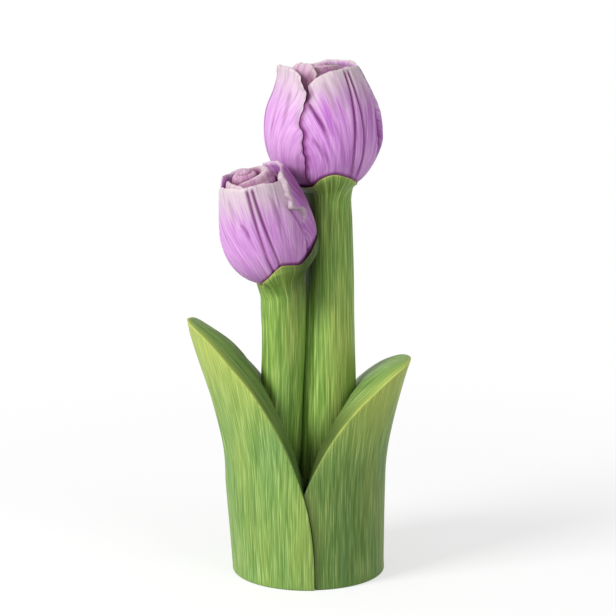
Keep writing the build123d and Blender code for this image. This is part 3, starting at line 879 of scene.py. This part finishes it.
# Inner petals: three thinner shells inside the outer ones, a little lower at their sides, seen only as
# rounded lips round the bud. Carved with no midrib, painted a duller purple that darkens below the lips
# as painted shade, glued behind the others.
heart_purple = purple_paint(
    "heart_purple", deep=colour(144, 68, 124), mid=colour(174, 118, 154), light=colour(208, 166, 188),
    pale=colour(208, 188, 192), plum=colour(112, 38, 86))
inner_set_in = 5.15
inner_rim_set_in = 4.2
inner_wall = 4.0
inner_lip = 2.4
inner_grid = (80, 120)


def inner_petals(flower, name, rim, edges, tops, below_lip_shade, seed):
    """Three inner petals on the outline inside the outer petals, each with its own edges and height."""
    inside = flower._replace(radius=flower.radius - inner_set_in, rim=flower.rim - inner_rim_set_in)
    for step, spot in enumerate(("right", "back", "left")):
        left, right = edges[step]
        middle = (left + right) / 2
        spec = Petal(
            node=f"{name}_inner_petal_{spot}", edge_heights=(0, flower.top),
            left_edge=(left,) * 2, right_edge=(right,) * 2, tip=tops[step], left_drop=6.0, right_drop=6.0,
            shoulders=(2.5, 6.0), rib=(middle, middle, 2.0, 0.8), folds=(), warm=0.3, flare=0.0,
            pale=0.7, gouge=0.0, below_lip_shade=below_lip_shade)
        petal(inside, spec, rim, inner_wall, inner_lip, crown=1.0, size=inner_grid,
              material=heart_purple, seed=seed + 10 * step)


inner_petals(tall_head, "tall", tall_rim, edges=((2, 150), (156, 270), (-80, -5)),
             tops=(70.0, 71.0, 76.0), below_lip_shade=0.7, seed=100)
inner_petals(short_head, "short", short_rim, edges=((-2, 112), (118, 232), (238, 352)),
             tops=(61.0, 62.0, 65.5), below_lip_shade=1.0, seed=140)


# Buds: each flower's heart is one closed, rolled petal, turned with a plug that the others stand round.
# Its top is carved into a domed roll with a coil, beside a crescent fold. Painted like the inner petals,
# with painted shade on its sides, round the roll and on the fold's outer slope, and a painted highlight
# near the fold's crest, and pegged to the stem.
bud_drop = 2.5
crown_edge_drop = 1.5
plug_gap = 0.2
middle_radius = 12.0
groove_depth, groove_width = 1.5, 0.9
groove_shade_width = 1.7
coil_depth, coil_width = 0.7, 0.75
crescent_height, crescent_slope = 2.6, 2.6


def bud(node, flower, crown, roll_x, roll_y, roll_radius, roll_rise, material, seed):
    """A closed heart: a round body that swells to its crown, with a carved top.

    The top is a height over the crown's disc: a paraboloid round the roll's centre, a groove round that,
    a shallow coil whose radius grows with the turn on the roll, and a rounded crescent out to the rim.
    """
    columns, side_rows, top_rows = 220, 70, 80
    turn = np.linspace(0, 2 * np.pi, columns + 1)[None, :-1]
    top = flower.top - bud_drop
    share = np.linspace(0, 1, side_rows)[:, None]
    height = flower.foot + (top - crown_edge_drop - flower.foot) * share
    plug = plug_radius - plug_gap
    radius = through((0, 0.1, 0.5, 0.8, 1.0), (plug, plug, middle_radius, crown + 0.5, crown), share)
    inward = np.linspace(1, 0, top_rows)[:, None]
    spot = inward * crown + 0 * turn
    off_x, off_y = spot * np.sin(turn) - roll_x, -spot * np.cos(turn) - roll_y
    from_roll = np.hypot(off_x, off_y)
    coil_turn = np.arctan2(off_y, off_x) / (2 * np.pi) + 0.5
    coil = hump(from_roll, roll_radius * (0.3 + 0.5 * coil_turn), coil_width)
    coil = coil * smooth(coil_turn, 0.0, 0.15)
    beyond = np.maximum(from_roll - roll_radius, 0)
    width = beyond + crown - spot + 1e-6
    over = beyond / width
    roll = roll_rise * (1 - np.minimum(from_roll / roll_radius, 1) ** 2)
    fold = 4 * over * (1 - over) * np.minimum(width / crescent_slope, crescent_height)
    groove = hump(from_roll, roll_radius, groove_width)
    crest = top + roll + fold - groove_depth * groove - coil_depth * coil
    crest = crest - crown_edge_drop * smooth(inward, 0.86, 1.0)
    radii = np.concatenate([radius + 0 * turn, spot])
    heights = np.concatenate([height + 0 * turn, crest])
    foot_row = np.broadcast_to(flower.origin + flower.foot * flower.axes[:, 2], (1, columns, 3))
    grid = np.concatenate([foot_row, on_head(flower, radii, heights, turn + 0 * radii)])

    blank = np.zeros((1, columns))
    # Painted shade on the sides and round the roll, plum in the coil, and a painted highlight near the fold's
    # crest over the pale brushing of the top.
    sides = smooth(height, top - 3, top - 12) * 0.85 + 0 * turn
    side_tips = hump(height, top, 2.5) * 0.5 + 0 * turn
    roll_groove_shade = 0.95 * hump(from_roll, roll_radius, groove_shade_width)
    top_tips_and_highlight = np.clip(0.4 + 0.6 * hump(over, 0.4, 0.2), 0, 1)
    top_cuts_and_shade = np.clip(roll_groove_shade + 0.6 * coil + 0.45 * smooth(over, 0.55, 1.0), 0, 1)
    marks = {
        "grain": np.stack([np.concatenate([blank, radii * np.sin(turn)]) + seed,
                           np.concatenate([blank, radii * np.cos(turn)]),
                           np.concatenate([blank, heights])], axis=-1),
        "tip": np.concatenate([blank, side_tips, top_tips_and_highlight]),
        "cut": np.concatenate([blank, sides, top_cuts_and_shade]),
        "warm": np.concatenate([blank, 0.5 + 0 * sides, 0.2 + 0 * spot]),
    }
    make_piece(node, grid, marks, material)


bud("tall_bud", tall_head, crown=13.0, roll_x=2.0, roll_y=2.0, roll_radius=7.5, roll_rise=3.4,
    material=heart_purple, seed=180)
bud("short_bud", short_head, crown=12.3, roll_x=-4.6, roll_y=1.0, roll_radius=8.6, roll_rise=4.5,
    material=heart_purple, seed=190)


# Table and light: a pale floor that keeps the ornament's soft shadow, a large soft lamp high on the
# left, a weak one on the right, white surroundings, and a camera in front that looks down a little.
def lamp(name, place, aim, size, power):
    """A square soft lamp at a place, turned towards its aim."""
    light = bpy.data.lights.new(name, "AREA")
    light.size = size
    light.energy = power
    holder = bpy.data.objects.new(name, light)
    holder.location = place
    holder.rotation_euler = (Vector(aim) - Vector(place)).to_track_quat("-Z", "Y").to_euler()
    bpy.context.scene.collection.objects.link(holder)


lamp_aim = (0, 0, 0.15)
lamp("key_lamp", place=(-1.45, -1.0, 1.25), aim=lamp_aim, size=0.8, power=37)
lamp("fill_lamp", place=(1.2, -1.3, 1.1), aim=lamp_aim, size=1.0, power=7.5)

floor_mesh = bpy.data.meshes.new("floor")
floor_reach = 4.0
floor_signs = ((-1, -1), (1, -1), (1, 1), (-1, 1))
floor_corners = [(floor_reach * x, floor_reach * y, 0) for x, y in floor_signs]
floor_mesh.from_pydata(floor_corners, [], [(0, 1, 2, 3)])
floor = bpy.data.objects.new("floor", floor_mesh)
bpy.context.scene.collection.objects.link(floor)
floor_white, start = new_material("floor_white")
floor_mesh.materials.append(floor_white)


def seen(start):
    """1 for rays that show a surface to the camera, straight, in a gloss or through glass, and else 0."""
    straight = start.node("LightPath", {}, {}, "Is Camera Ray")
    gloss = start.node("LightPath", {}, {}, "Is Glossy Ray")
    glass = start.node("LightPath", {}, {}, "Is Transmission Ray")
    return straight.math("MINIMUM", straight + gloss + glass, 1.0)


tree = floor_white.node_tree
place = start.node("TexCoord", {}, {}, "Object")
away = start.node("VectorMath", {"operation": "LENGTH"}, {0: place}, "Value").between(0.12, 0.5)
floor_grey = (0.42, 0.42, 0.42, 1)
bounce_grey = (0.55, 0.55, 0.55, 1)
floor_glow = 0.6
lit = start.node("BsdfDiffuse", {}, {"Color": floor_grey})
plain = start.node("BsdfDiffuse", {}, {"Color": bounce_grey})
glow = start.node("Emission", {}, {"Color": (1, 1, 1, 1), "Strength": floor_glow})
white = start.node("Emission", {}, {"Color": (1, 1, 1, 1), "Strength": 1.0})
near = start.node("AddShader", {}, {0: lit, 1: glow})
shown = start.node("MixShader", {}, {0: away, 1: near, 2: white})
ground = start.node("MixShader", {}, {0: seen(start), 1: plain, 2: shown})
tree.links.new(ground.socket, tree.nodes["Material Output"].inputs["Surface"])

world = bpy.data.worlds.new("white_room")
bpy.context.scene.world = world
world.use_nodes = True
start = Tone(world.node_tree)
room_light = 0.42
strength = room_light + seen(start) * (1 - room_light)
world.node_tree.links.new(strength.socket, world.node_tree.nodes["Background"].inputs["Strength"])
world.node_tree.nodes["Background"].inputs["Color"].default_value = (1, 1, 1, 1)

camera_data = bpy.data.cameras.new("camera")
camera_data.lens = 186.2
camera_data.sensor_width = 36.0
camera = bpy.data.objects.new("camera", camera_data)
elevation = np.radians(13.5)
distance = 1.8415
aim_x, aim_z = -0.0003, 0.1572
camera.location = (aim_x, -distance * np.cos(elevation), aim_z + distance * np.sin(elevation))
camera.rotation_euler = (np.pi / 2 - elevation, 0, 0)
bpy.context.scene.collection.objects.link(camera)
bpy.context.scene.camera = camera
bpy.context.scene.view_settings.view_transform = "Standard"
